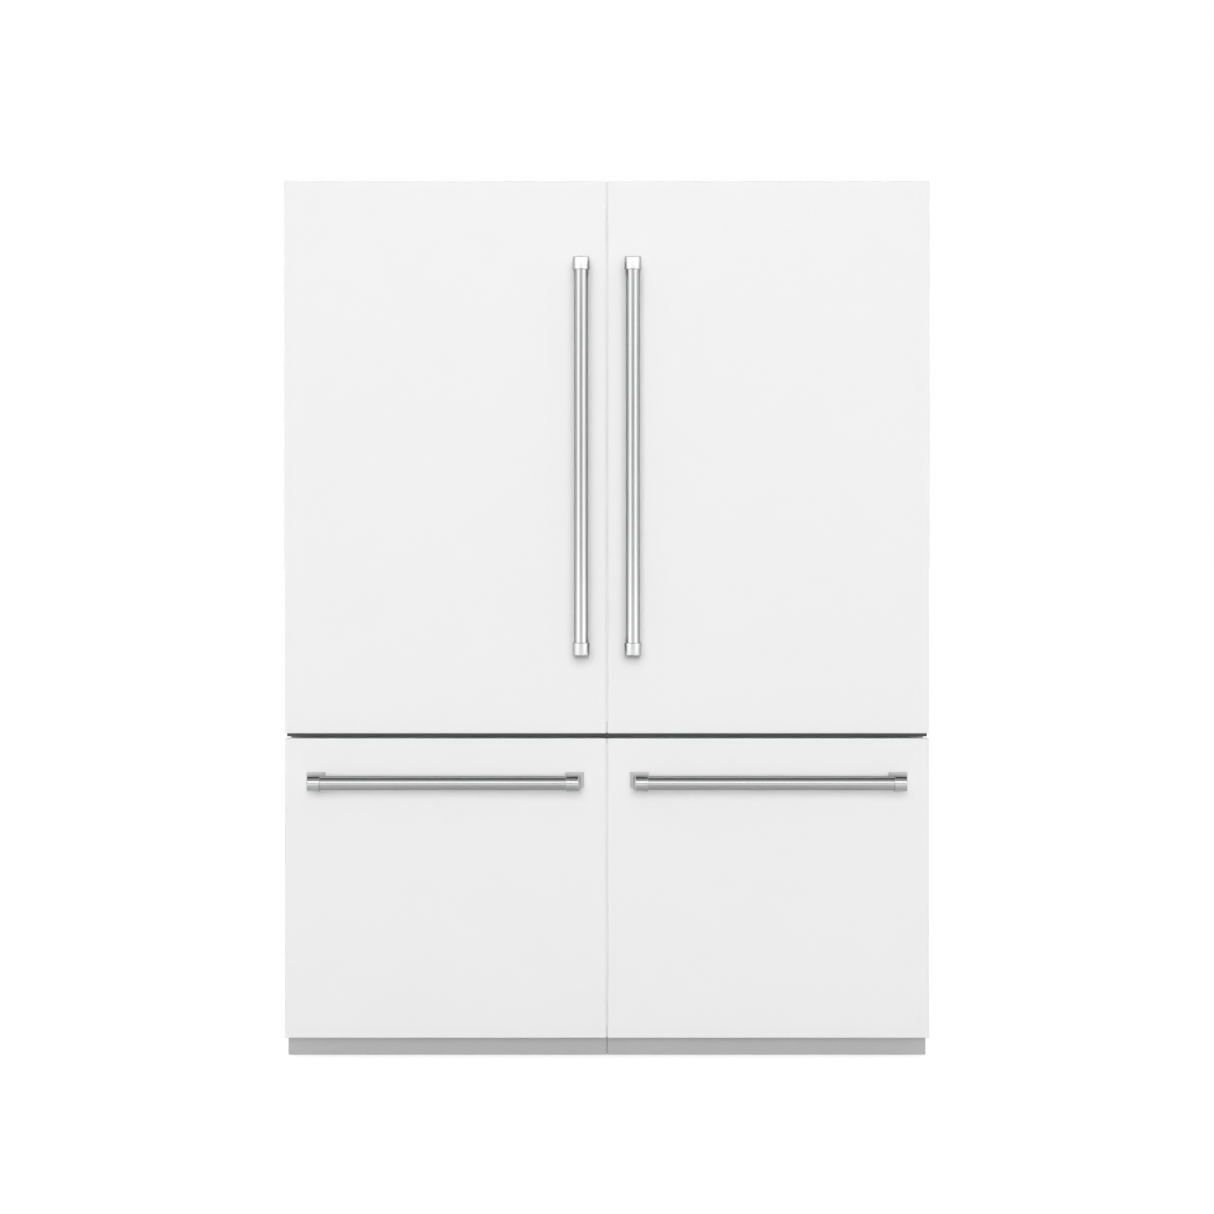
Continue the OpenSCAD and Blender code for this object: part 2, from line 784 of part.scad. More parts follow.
module drawer_slides() {
    color("silver")
        slide_pair(slide_t - member_t, member_t, y_body + pad_d, slide_y0 + slide_l - 5,
                   slide_z0 + lip_h + slack, slide_z1 - lip_h - slack);
}

module freezer_basket() {
    color("aliceblue", 0.7)
        tub([basket_x0, basket_y0, basket_z0], [basket_x1, basket_y1, basket_z0 + basket_h], wall_thin);
}

module freezer_tray() {
    color("aliceblue", 0.7)
        difference() {
            union() {
                span([bay_x0 + ledge_w + 2, tray_y0, tray_z0], [bay_x1 - ledge_w - 2, tray_y1, tray_z1]);
                span([bay_x0 + 3, tray_y0, tray_z1 - tray_rim + slack], [bay_x1 - 3, tray_y1, tray_z1]);
            }
            span([bay_x0 + ledge_w + 2 + wall_thin, tray_y0 + wall_thin, tray_z0 + wall_thin],
                 [bay_x1 - ledge_w - 2 - wall_thin, tray_y1 - wall_thin, tray_z1 + over]);
        }
}

// ---- doors ----

module door_panel() {
    color("white") span([x_in, y_face, door_bottom_z], [unit_w, y_panel, door_top_z]);
}

module door_body() {
    bore_d = pin_d + 2 * running_fit;
    color("whitesmoke")
        difference() {
            span([x_in + body_inset, y_panel, door_body_z0], [unit_w - body_inset, y_body, door_body_z1]);
            for (z = [door_body_z0 - over, door_body_z1 - pin_depth - slack])
                translate([x_hinge, y_hinge, z]) cylinder(d = bore_d, h = pin_depth + slack + over);
        }
}

module door_liner() {
    color("white") {
        span([pan_x0, y_body, pan_z0], [pan_x1, y_body + pan_d, pan_z1]);
        for (x = [pan_x0, pan_x1 - rib_w])
            span([x, y_body, rib_z0], [x + rib_w, y_body + rib_d, pan_z1]);
    }
}

module door_gasket() {
    color("gainsboro") seal_ring(bay_x0, bay_x1, fridge_z0, fridge_z1);
}

module door_bins() {
    color("aliceblue", 0.6)
        for (z = bin_zs)
            tub([pan_x0 + rib_w, y_body + pan_d, z],
                [pan_x1 - rib_w, y_body + pan_d + bin_d, z + bin_h], wall_thin);
}

// ---- drawer fronts ----

module drawer_panel() {
    color("white") span([x_in, y_face, panel_bottom_z], [unit_w, y_panel, drawer_top_z]);
}

module drawer_body() {
    color("whitesmoke") {
        span([x_in + body_inset, y_panel, drawer_body_z0], [unit_w - body_inset, y_body, drawer_body_z1]);
        span([bay_x0 + pad_clear, y_body, freezer_z0 + pad_clear],
             [bay_x1 - pad_clear, y_body + pad_d, freezer_z1 - pad_clear]);
    }
}

module drawer_gasket() {
    color("gainsboro") seal_ring(bay_x0, bay_x1, freezer_z0, freezer_z1);
}

// ---- handles ----

// Handle posts along X, centred, standing on the plane Y = 0 and reaching towards -Y
module handle_posts(l) {
    inside = 14;
    for (s = [0, 1])
        mirror([s, 0, 0])
            translate([-l / 2, 0, 0])
                difference() {
                    union() {
                        translate([0, 0, -post_w / 2])
                            linear_extrude(post_w)
                                polygon([
                                    [0, 0], [post_root, 0],
                                    [post_taper + collar_l, -bar_reach], [post_taper, -bar_reach]
                                ]);
                        rod_x([post_taper, -bar_reach, 0], collar_d / 2, collar_l);
                    }
                    rod_x([post_taper + collar_l - inside, -bar_reach, 0],
                          bar_d / 2 + running_fit, inside + post_root);
                }
}

// Handle bar along X, centred, held in its collars
module handle_bar(l) {
    inside = 14;
    bar_l = l - 2 * (post_taper + collar_l - inside);
    rod_x([-bar_l / 2, -bar_reach, 0], bar_d / 2, bar_l);
}

module at_door_handle() {
    translate([door_handle_x, y_face, (door_bottom_z + door_top_z) / 2]) rotate([0, 90, 0]) children();
}

module at_drawer_handle() {
    translate([panel_xm, y_face, drawer_top_z - drawer_handle_drop]) children();
}

module door_handle_bar() {
    color("silver") at_door_handle() handle_bar(door_handle_l);
}

module door_handle_posts() {
    color("silver") at_door_handle() handle_posts(door_handle_l);
}

module drawer_handle_bar() {
    color("silver") at_drawer_handle() handle_bar(drawer_handle_l);
}

module drawer_handle_posts() {
    color("silver") at_drawer_handle() handle_posts(drawer_handle_l);
}

// ---- nodes ----

insulation();
fridge_liners();
freezer_liners();
rear_covers();
both() toe_kick();  // toe_kicks
both() hinge_rail();  // hinge_rails
both() top_hinge();  // top_hinges
leveling_legs();
tie_bracket();
glass_shelves();
shelf_frames();
led_light_bars();
control_panels();
crisper_frames();
air_covers();
evaporators();
compressors();
condensers();
freezer_rails();
rear_fittings();
for (s = SIDES) {
    unit(s) cabinet_shell();
    unit(s) door_panel();
    unit(s) door_body();
    unit(s) door_liner();
    unit(s) door_gasket();
    unit(s) door_bins();
    unit(s) door_handle_bar();
    unit(s) door_handle_posts();
    unit(s) drawer_panel();
    unit(s) drawer_body();
    unit(s) drawer_gasket();
    unit(s) drawer_handle_bar();
    unit(s) drawer_handle_posts();
    unit(s) drawer_slides();
    unit(s) slide_middles();
    unit(s) freezer_basket();
    unit(s) freezer_tray();
    unit(s) crisper();
    unit(s) evaporator_fan();
    unit(s) condenser_fan();
}
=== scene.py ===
import json
import math

import bmesh
import bpy
from mathutils import Matrix, Vector


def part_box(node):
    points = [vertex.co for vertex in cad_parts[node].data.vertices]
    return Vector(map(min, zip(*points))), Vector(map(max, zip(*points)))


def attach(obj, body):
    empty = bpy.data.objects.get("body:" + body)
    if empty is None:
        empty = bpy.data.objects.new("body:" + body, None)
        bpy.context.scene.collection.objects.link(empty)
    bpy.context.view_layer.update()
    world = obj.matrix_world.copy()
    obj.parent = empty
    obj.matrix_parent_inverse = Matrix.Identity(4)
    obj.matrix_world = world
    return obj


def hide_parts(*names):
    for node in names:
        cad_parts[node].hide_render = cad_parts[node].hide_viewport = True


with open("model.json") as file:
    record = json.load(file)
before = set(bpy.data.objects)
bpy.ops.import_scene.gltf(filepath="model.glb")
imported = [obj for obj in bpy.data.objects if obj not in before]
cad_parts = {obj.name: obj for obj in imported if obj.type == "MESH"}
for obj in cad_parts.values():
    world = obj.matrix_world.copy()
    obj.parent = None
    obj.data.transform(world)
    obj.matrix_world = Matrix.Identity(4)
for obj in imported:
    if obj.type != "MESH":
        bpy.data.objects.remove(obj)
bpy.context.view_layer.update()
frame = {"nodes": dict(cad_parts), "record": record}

MM = 0.001
SIDES = {"left": -1.0, "right": 1.0}


# ---------------------------------------------------------------- shader maths

class Value:
    """A node's output socket that Python's operators turn into Math nodes."""

    def __init__(self, paint, made, out=0):
        self.paint = paint
        self.made = made
        self.socket = made.outputs[out] if made.outputs else None

    def math(self, operation, *others):
        return self.paint.node("ShaderNodeMath", {"operation": operation}, *others)

    def __add__(self, other):
        return self.math("ADD", self, other)

    def __radd__(self, other):
        return self.math("ADD", other, self)

    def __sub__(self, other):
        return self.math("SUBTRACT", self, other)

    def __rsub__(self, other):
        return self.math("SUBTRACT", other, self)

    def __mul__(self, other):
        return self.math("MULTIPLY", self, other)

    def __rmul__(self, other):
        return self.math("MULTIPLY", other, self)

    def clamped(self, low, high):
        return self.math("MAXIMUM", self.math("MINIMUM", self, high), low)


class Paint:
    """One procedural material, or the world, built node by node."""

    def __init__(self, name, world=False):
        data = bpy.data.worlds if world else bpy.data.materials
        self.block = data.new(name)
        self.block.use_nodes = True
        self.tree = self.block.node_tree
        self.tree.nodes.clear()

    def node(self, kind, settings=None, *inputs, out=0, **named):
        """Adds a node: its settings first, then the values or links of its sockets."""
        made = self.tree.nodes.new(kind)
        for key, value in (settings or {}).items():
            if key == "stops":
                self.ramp(made.color_ramp, value)
            else:
                setattr(made, key, value)
        for key, value in list(enumerate(inputs)) + list(named.items()):
            self.feed(made.inputs[key if isinstance(key, int) else key.replace("_", " ")], value)
        return Value(self, made, out)

    def feed(self, socket, value):
        if isinstance(value, Value):
            self.tree.links.new(value.socket, socket)
        else:
            socket.default_value = value

    @staticmethod
    def ramp(ramp, stops):
        while len(ramp.elements) < len(stops):
            ramp.elements.new(1.0)
        for element, (place, level) in zip(ramp.elements, stops):
            element.position = place
            element.color = level if isinstance(level, tuple) else (level, level, level, 1.0)

    def place(self, stretch=(1.0, 1.0, 1.0)):
        """Object coordinates, stretched along each axis."""
        where = self.node("ShaderNodeTexCoord", None, out=3)
        return self.node("ShaderNodeMapping", {"vector_type": "POINT"}, where, Scale=stretch)

    def noise(self, scale, detail=2.0, stretch=(1.0, 1.0, 1.0)):
        return self.node("ShaderNodeTexNoise", {"noise_dimensions": "3D"}, self.place(stretch), Scale=scale,
                         Detail=detail)

    def mix(self, factor, first, second):
        """Blends two colours."""
        made = self.node("ShaderNodeMix", {"data_type": "RGBA"}, out=2)
        for key, value in ((0, factor), (6, first), (7, second)):
            self.feed(made.made.inputs[key], value)
        return made

    def bump(self, height, strength, distance):
        return self.node("ShaderNodeBump", None, Strength=strength, Distance=distance, Height=height)

    def surface(self, **sockets):
        """The Principled shader and the material's output."""
        shader = self.node("ShaderNodeBsdfPrincipled", None)
        for key, value in sockets.items():
            self.feed(shader.made.inputs[key.replace("_", " ")], value)
        self.node("ShaderNodeOutputMaterial", None, shader)
        return self.block


def grey(level, warmth=0.0):
    return (level * (1.0 + warmth), level, level * (1.0 - warmth), 1.0)


# ---------------------------------------------------------------- materials

def powder_coat(name, level, roughness, warmth=0.0):
    """Painted sheet: a faint drift of tone and the fine orange peel of powder coat."""
    paint = Paint(name)
    drift = paint.noise(3.0, 3.0)
    peel = paint.noise(900.0, 2.0)
    tone = paint.mix(drift, grey(level * 0.985, warmth), grey(level * 1.015, warmth))
    return paint.surface(Base_Color=tone, Roughness=roughness - 0.05 + 0.1 * drift,
                         Normal=paint.bump(peel, 0.12, 0.0004))


def moulded_plastic(name, colour, roughness, grain=1400.0):
    """Injection-moulded plastic with a fine grain."""
    paint = Paint(name)
    drift = paint.noise(5.0, 2.0)
    fine = paint.noise(grain, 2.0)
    darker = tuple(c * 0.96 for c in colour[:3]) + (1.0,)
    return paint.surface(Base_Color=paint.mix(drift, darker, colour),
                         Roughness=roughness - 0.04 + 0.08 * drift,
                         Normal=paint.bump(fine, 0.08, 0.0003))


def brushed_steel(name, stretch, level, roughness, streak=0.3, edge=0.12):
    """Steel with hairlines: noise drawn out along the direction of brushing.

    edge is how bright it stays where it is seen at a low angle.
    """
    paint = Paint(name)
    hair = paint.noise(1.0, 3.0, stretch)
    broad = paint.noise(14.0, 2.0)
    tone = paint.mix(hair, grey(level * (1.0 - streak), -0.004), grey(level * (1.0 + streak * 0.5), -0.004))
    return paint.surface(Base_Color=tone, Metallic=1.0, Specular_Tint=grey(edge),
                         Roughness=roughness - 0.05 + 0.06 * hair + 0.04 * broad,
                         Normal=paint.bump(hair, 0.04, 0.0002))


def galvanised(name):
    """Zinc-coated sheet: crystals of slightly different grey."""
    paint = Paint(name)
    crystals = paint.node("ShaderNodeTexVoronoi", {"feature": "F1"}, paint.place(), Scale=70.0, out=1)
    level = paint.node("ShaderNodeRGBToBW", None, crystals)
    return paint.surface(Base_Color=paint.mix(level, grey(0.46, -0.01), grey(0.62, -0.01)), Metallic=0.85,
                         Roughness=0.36 + 0.16 * level, Normal=paint.bump(level, 0.05, 0.0003))


def vinyl(name, level):
    """Soft matte seal."""
    paint = Paint(name)
    mottle = paint.noise(60.0, 3.0)
    return paint.surface(Base_Color=paint.mix(mottle, grey(level * 0.94), grey(level)),
                         Roughness=0.62 + 0.12 * mottle, Normal=paint.bump(mottle, 0.1, 0.0004))


def clear(name, colour, roughness, alpha):
    """Glass or clear moulded plastic, seen through by alpha so that it stays clean in every view."""
    paint = Paint(name)
    haze = paint.noise(40.0, 2.0)
    edge = paint.node("ShaderNodeLayerWeight", None, Blend=0.35, out=1)
    return paint.surface(Base_Color=colour, Roughness=roughness + 0.05 * haze, Specular_IOR_Level=0.6,
                         Alpha=(alpha + 0.45 * edge + 0.04 * haze).clamped(0.0, 1.0))


def frosted_lens(name):
    """Frosted light lens that glows softly."""
    paint = Paint(name)
    mottle = paint.noise(200.0, 1.0)
    glow = paint.mix(mottle, (1.0, 0.97, 0.90, 1.0), (1.0, 0.98, 0.94, 1.0))
    return paint.surface(Base_Color=grey(0.9), Roughness=0.5, Emission_Color=glow, Emission_Strength=1.6)


def mottled(name, colour, roughness, metallic):
    """A surface with small cloudy spots: cast or plated metal, and foam."""
    paint = Paint(name)
    mottle = paint.noise(120.0, 4.0)
    darker = tuple(c * 0.85 for c in colour[:3]) + (1.0,)
    return paint.surface(Base_Color=paint.mix(mottle, darker, colour), Metallic=metallic,
                         Roughness=roughness - 0.05 + 0.12 * mottle, Normal=paint.bump(mottle, 0.1, 0.0003))


FINISH = {
    "panel": powder_coat("matte_white_coat", 0.86, 0.52),
    "case": powder_coat("grey_enamel", 0.56, 0.42, -0.006),
    "body_pan": powder_coat("light_grey_enamel", 0.74, 0.40, -0.004),
    "liner": moulded_plastic("white_liner", (0.86, 0.875, 0.88, 1.0), 0.34),
    "foam": mottled("closed_cell_foam", (0.85, 0.76, 0.50, 1.0), 0.85, 0.0),
    "galvanized": galvanised("zinc_coated_sheet"),
    "toe": powder_coat("toe_kick_grey", 0.50, 0.45),
    "dark_rail": powder_coat("dark_rail_coat", 0.075, 0.42),
    "gasket": vinyl("grey_vinyl", 0.62),
    "handle_z": brushed_steel("bar_steel_upright", (700.0, 700.0, 3.0), 0.52, 0.15, 0.12),
    "handle_x": brushed_steel("bar_steel_level", (3.0, 700.0, 700.0), 0.52, 0.15, 0.12),
    "handle_post": brushed_steel("post_steel", (300.0, 50.0, 300.0), 0.54, 0.15, 0.06, 0.8),
    "glass": clear("tempered_glass", (0.72, 0.86, 0.83, 1.0), 0.03, 0.22),
    "clear_bin": clear("clear_plastic", (0.86, 0.91, 0.94, 1.0), 0.08, 0.24),
    "frame": moulded_plastic("white_frame", (0.84, 0.85, 0.86, 1.0), 0.30),
    "light": frosted_lens("frosted_lens"),
    "control": moulded_plastic("smoked_panel", (0.05, 0.052, 0.056, 1.0), 0.18),
    "zinc": mottled("zinc_plate", (0.60, 0.61, 0.60, 1.0), 0.38, 0.9),
    "slide": brushed_steel("slide_steel", (500.0, 6.0, 500.0), 0.60, 0.34, 0.12),
    "fins": brushed_steel("fin_aluminium", (300.0, 40.0, 300.0), 0.66, 0.40, 0.10),
    "compressor": powder_coat("black_enamel", 0.025, 0.34),
    "fan": moulded_plastic("black_moulding", (0.035, 0.035, 0.038, 1.0), 0.45),
    "brass": mottled("machined_brass", (0.66, 0.47, 0.18, 1.0), 0.28, 1.0),
    "leg": moulded_plastic("black_foot", (0.05, 0.05, 0.05, 1.0), 0.5),
}
SLOT_OF = {part["node"]: part["material_slot"] for part in frame["record"]["subparts"]}
BODY_OF = {n: b for b, nodes in frame["record"]["behaviour"]["bodies"].items() for n in nodes}


# ---------------------------------------------------------------- mesh helpers

PIECES = []


def finished(name, bm, body, slot, finish=None, replaces=(), sharp=35.0):
    """Turns a bmesh into a piece that rides on a body and wears a slot's finish."""
    mesh = bpy.data.meshes.new(name)
    bm.to_mesh(mesh)
    bm.free()
    piece = bpy.data.objects.new(name, mesh)
    bpy.context.scene.collection.objects.link(piece)
    mesh.materials.append(FINISH[finish or slot])
    mesh.shade_smooth()
    mesh.set_sharp_from_angle(angle=math.radians(sharp))
    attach(piece, body)
    if replaces:
        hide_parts(*replaces)
    PIECES.append(piece)
    return piece


def even_normals():
    """Keeps broad faces flat in the shading, so that a rounded edge doesn't bend the light across them."""
    for piece in PIECES:
        even = piece.modifiers.new("even_normals", "WEIGHTED_NORMAL")
        even.keep_sharp = True


def add_block(bm, low, high):
    """A box between two corners; returns its vertices."""
    low, high = Vector(low), Vector(high)
    verts = bmesh.ops.create_cube(bm, size=1.0)["verts"]
    bmesh.ops.scale(bm, vec=high - low, verts=verts)
    bmesh.ops.translate(bm, vec=(low + high) / 2, verts=verts)
    return verts


def edges_of(verts):
    return list({edge for vert in verts for edge in vert.link_edges})


def along(edges, axis):
    """The edges that run along one axis."""
    kept = []
    for edge in edges:
        run = edge.verts[1].co - edge.verts[0].co
        if run.length > 1e-9 and abs(run[axis]) / run.length > 0.999:
            kept.append(edge)
    return kept


def faces_at(bm, axis, place):
    """The faces that lie in a plane across one axis."""
    return [f for f in bm.faces if all(abs(v.co[axis] - place) < 1e-6 for v in f.verts)]


def sharp_edges(bm, angle=35.0):
    """The edges where two faces meet at more than an angle in degrees."""
    limit = math.radians(angle)
    return [e for e in bm.edges if len(e.link_faces) == 2 and e.calc_face_angle(0.0) > limit]


def round_edges(bm, edges, radius, segments=3):
    """Bevels edges with a round profile."""
    bmesh.ops.bevel(bm, geom=edges, offset=radius, offset_type="OFFSET", segments=segments, profile=0.5,
                    affect="EDGES", clamp_overlap=True, material=-1)


def add_soft_block(bm, low, high, radius, segments=2):
    """A box with all its edges rounded."""
    round_edges(bm, edges_of(add_block(bm, low, high)), radius, segments)


def add_drum(bm, start, end, radius, segments=48, rim=0.0, tip=None):
    """A cylinder or cone between two points, with rims rounded by the given radius."""
    start, end = Vector(start), Vector(end)
    made = bmesh.ops.create_cone(bm, cap_ends=True, cap_tris=False, segments=segments, radius1=radius,
                                 radius2=radius if tip is None else tip, depth=(end - start).length)
    verts = made["verts"]
    turn = (end - start).to_track_quat("Z", "Y").to_matrix()
    bmesh.ops.rotate(bm, cent=(0, 0, 0), matrix=turn, verts=verts)
    bmesh.ops.translate(bm, vec=(start + end) / 2, verts=verts)
    if rim:
        run = (end - start).normalized()
        rims = []
        for edge in edges_of(verts):
            if abs((edge.verts[1].co - edge.verts[0].co).normalized().dot(run)) < 0.5:
                rims.append(edge)
        round_edges(bm, rims, rim, 3)


def softened(node, radius, segments=2):
    """A copy of a CAD node's mesh with its sharp edges rounded, standing for the node."""
    bm = bmesh.new()
    bm.from_mesh(frame["nodes"][node].data)
    bmesh.ops.remove_doubles(bm, verts=bm.verts, dist=1e-5)
    bmesh.ops.dissolve_limit(bm, angle_limit=math.radians(1.0), verts=bm.verts, edges=bm.edges)
    round_edges(bm, sharp_edges(bm), radius, segments)
    finished(node + "_skin", bm, BODY_OF[node], SLOT_OF[node], None, (node,))


def dress(node):
    """Gives a carried-over CAD node its procedural finish."""
    mesh = frame["nodes"][node].data
    mesh.materials.clear()
    mesh.materials.append(FINISH[SLOT_OF[node]])


def islands(node):
    """The boxes of a node's separate solids, as (low, high) pairs."""
    bm = bmesh.new()
    bm.from_mesh(frame["nodes"][node].data)
    bmesh.ops.remove_doubles(bm, verts=bm.verts, dist=1e-5)
    found = []
    waiting = set(bm.verts)
    while waiting:
        stack = [waiting.pop()]
        group = []
        while stack:
            vert = stack.pop()
            group.append(vert.co.copy())
            for edge in vert.link_edges:
                other = edge.other_vert(vert)
                if other in waiting:
                    waiting.discard(other)
                    stack.append(other)
        low = Vector([min(co[k] for co in group) for k in range(3)])
        high = Vector([max(co[k] for co in group) for k in range(3)])
        found.append((low, high))
    bm.free()
    return sorted(found, key=lambda pair: (round(pair[0].z, 4), round(pair[0].x, 4)))


# ---------------------------------------------------------------- panels and bodies

PANEL_ROUND = 1.6 * MM
STRIP_DEPTH = 8 * MM
STRIP_CLEARANCE = 0.2 * MM


def make_panels():
    """The four flat front panels, each with a strip that nearly closes the gap at the centre.

    Their edges have the small round that powder coat leaves.
    """
    for side in SIDES:
        for part in ("door_panel", "drawer_panel"):
            node = f"{side}_{part}"
            bm = bmesh.new()
            low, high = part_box(node)
            add_soft_block(bm, low, high, PANEL_ROUND, 4)
            finished(node + "_skin", bm, BODY_OF[node], "panel", None, (node,))
            if side == "left":
                strip = (high[0], -STRIP_CLEARANCE)
            else:
                strip = (STRIP_CLEARANCE, low[0])
            y = low[1] + STRIP_DEPTH
            bm = bmesh.new()
            add_block(bm, (strip[0], y, low[2] + 1 * MM), (strip[1], y + 3 * MM, high[2] - 1 * MM))
            finished(f"{node}_edge_strip", bm, BODY_OF[node], "panel")


JOINER_HALF_WIDTH = 1.9 * MM


def make_joiners():
    """The strips that close the gap between the two units at the rails and at the toe kicks.

    For each: how far its front stands behind the node's front, and how far it goes below the node.
    """
    for node, slot, depth, drop, name in (("hinge_rails", "dark_rail", 0.5, 16, "rail_joiner"),
                                          ("toe_kicks", "toe", 7, 0, "toe_kick_joiner")):
        low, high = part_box(node)
        y = low[1] + depth * MM
        bm = bmesh.new()
        add_block(bm, (-JOINER_HALF_WIDTH, y, low[2] - drop * MM), (JOINER_HALF_WIDTH, y + 1 * MM, high[2]))
        finished(name, bm, "cabinet", slot)


def make_bodies():
    for side in SIDES:
        for part, radius in (("door_body", 3.0), ("drawer_body", 3.0), ("door_liner", 7.0)):
            softened(f"{side}_{part}", radius * MM, 4)


def gasket_ring(node):
    """A magnetic seal: a wide base, a narrow bellows and a plump head that meets the cabinet.

    layers holds the start and end of each layer as shares of the depth, and how much narrower it is in mm.
    """
    low, high = (Vector(c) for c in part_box(node))
    depth = high.y - low.y
    layers = ((0.00, 0.22, 0.0), (0.22, 0.34, 3.0), (0.34, 0.48, 1.2), (0.48, 0.58, 3.4), (0.58, 1.00, 0.4))
    source = bmesh.new()
    source.from_mesh(frame["nodes"][node].data)
    bmesh.ops.remove_doubles(source, verts=source.verts, dist=1e-5)
    bmesh.ops.dissolve_limit(source, angle_limit=0.01, verts=source.verts, edges=source.edges)
    mid = (low + high) / 2
    shared = bpy.data.meshes.new(node + "_ring")
    source.to_mesh(shared)
    source.free()
    bm = bmesh.new()
    for start, stop, narrow in layers:
        ring = bmesh.new()
        ring.from_mesh(shared)
        for vert in ring.verts:
            outer = abs(vert.co.x - mid.x) > (high.x - low.x) / 2 - 1e-4
            inward = -narrow * MM if outer else narrow * MM
            for axis in (0, 2):
                vert.co[axis] += math.copysign(inward, vert.co[axis] - mid[axis])
            vert.co.y = low.y + depth * (start if vert.co.y < mid.y else stop)
        edges = [e for e in ring.edges if e.calc_face_angle(0.0) > 0.5]
        round_edges(ring, edges, 0.6 * MM, 2)
        part = bpy.data.meshes.new("part")
        ring.to_mesh(part)
        ring.free()
        bm.from_mesh(part)
        bpy.data.meshes.remove(part)
    bpy.data.meshes.remove(shared)
    finished(node + "_seal", bm, BODY_OF[node], "gasket", None, (node,))


# ---------------------------------------------------------------- handles

POST_ROOT = 45 * MM
POST_TAPER = 10 * MM
POST_EDGE = 1.3 * MM
COLLAR_LENGTH = 31 * MM
COLLAR_WALL = 3.6 * MM
COLLAR_FLARE = 0.8 * MM
OVERRUN = 5 * MM


def add_post(bm, turn, foot, direction, reach, radius):
    """One handle post: a leg that grows into a collar round the bar's end, both cut by one slanted plane.

    It is made along +X at the origin, standing on Y = 0 towards -Y, and then turned, flipped and moved.
    """
    part = bmesh.new()
    slope = POST_TAPER / reach
    collar_end = POST_TAPER + COLLAR_LENGTH
    root = radius - 2 * MM
    leg = add_block(part, (-OVERRUN, -reach, -radius), (POST_ROOT, 0, radius))
    for vert in leg:
        if vert.co.y > -reach / 2:
            vert.co.z = math.copysign(root, vert.co.z)
        else:
            vert.co.z = math.copysign(radius - 1.5 * MM, vert.co.z)
            if vert.co.x > 0:
                vert.co.x = collar_end - 1 * MM
    add_drum(part, (-OVERRUN, -reach, 0), (collar_end, -reach, 0), radius - COLLAR_FLARE, 72, 0,
             radius + COLLAR_FLARE)
    bmesh.ops.bisect_plane(part, geom=part.verts[:] + part.edges[:] + part.faces[:], plane_co=(0, 0, 0),
                           plane_no=(-1, -slope, 0), clear_outer=True)
    open_rims = [e for e in part.edges if len(e.link_faces) == 1]
    bmesh.ops.holes_fill(part, edges=open_rims, sides=0)
    round_edges(part, sharp_edges(part), POST_EDGE, 3)
    if direction < 0:
        bmesh.ops.scale(part, vec=(-1, 1, 1), verts=part.verts)
        bmesh.ops.reverse_faces(part, faces=part.faces)
    bmesh.ops.rotate(part, cent=(0, 0, 0), matrix=turn, verts=part.verts)
    bmesh.ops.translate(part, vec=foot, verts=part.verts)
    mesh = bpy.data.meshes.new("post")
    part.to_mesh(mesh)
    part.free()
    bm.from_mesh(mesh)
    bpy.data.meshes.remove(mesh)


def make_handle(side, part, axis):
    """The bar and the two posts of one handle. axis is 2 for a door handle and 0 for a drawer handle."""
    bar_node, post_node = f"{side}_{part}_handle_bar", f"{side}_{part}_handle_posts"
    low, high = (Vector(c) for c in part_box(bar_node))
    mid = (low + high) / 2
    radius = (high.y - low.y) / 2
    start, end = mid.copy(), mid.copy()
    start[axis], end[axis] = low[axis], high[axis]
    bm = bmesh.new()
    add_drum(bm, start, end, radius, 96, 0.8 * MM)
    finish = "handle_z" if axis == 2 else "handle_x"
    finished(bar_node + "_tube", bm, BODY_OF[bar_node], "handle", finish, (bar_node,))

    post_low, post_high = (Vector(c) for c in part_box(post_node))
    turn = Matrix.Rotation(math.radians(-90), 3, "Y") if axis == 2 else Matrix.Identity(3)
    bm = bmesh.new()
    for direction, corner in ((1, post_low), (-1, post_high)):
        foot = mid.copy()
        foot[axis] = corner[axis]
        foot.y = post_high.y
        add_post(bm, turn, foot, direction, post_high.y - mid.y, radius + COLLAR_WALL)
    finished(post_node + "_cast", bm, BODY_OF[post_node], "handle_post", None, (post_node,))


# ---------------------------------------------------------------- tubs, bins and drawers

def tub(name, low, high, body, slot, replaces, wall, corner, foot):
    """An open box with rounded corners, a rounded foot and a wall of even thickness."""
    low, high = Vector(low), Vector(high)
    bm = bmesh.new()
    verts = add_block(bm, low, high)
    round_edges(bm, along(edges_of(verts), 2), corner, 6)
    base = [e for e in bm.edges if all(abs(v.co.z - low.z) < 1e-6 for v in e.verts)]
    round_edges(bm, base, foot, 4)
    bmesh.ops.delete(bm, geom=faces_at(bm, 2, high.z), context="FACES_ONLY")
    piece = finished(name, bm, body, slot, None, replaces)
    shell = piece.modifiers.new("wall", "SOLIDIFY")
    shell.thickness = wall
    shell.offset = -1.0
    soft = piece.modifiers.new("edge", "BEVEL")
    soft.width = wall * 0.3
    soft.segments = 2
    soft.limit_method = "ANGLE"


def make_bins():
    """Clear door bins, each with a bright guard strip along its front edge."""
    for side in SIDES:
        node = f"{side}_door_bins"
        body = BODY_OF[node]
        for index, (low, high) in enumerate(islands(node)):
            tub(f"{side}_door_bin_{index + 1}", low, high, body, "clear_bin", (node,), 2.6 * MM, 14 * MM,
                9 * MM)
            bm = bmesh.new()
            add_soft_block(bm, (low.x + 15 * MM, high.y - 3.4 * MM, high.z - 22 * MM),
                           (high.x - 15 * MM, high.y + 0.6 * MM, high.z - 4 * MM), 1.2 * MM, 3)
            finished(f"{side}_bin_guard_{index + 1}", bm, body, "frame", "handle_x")


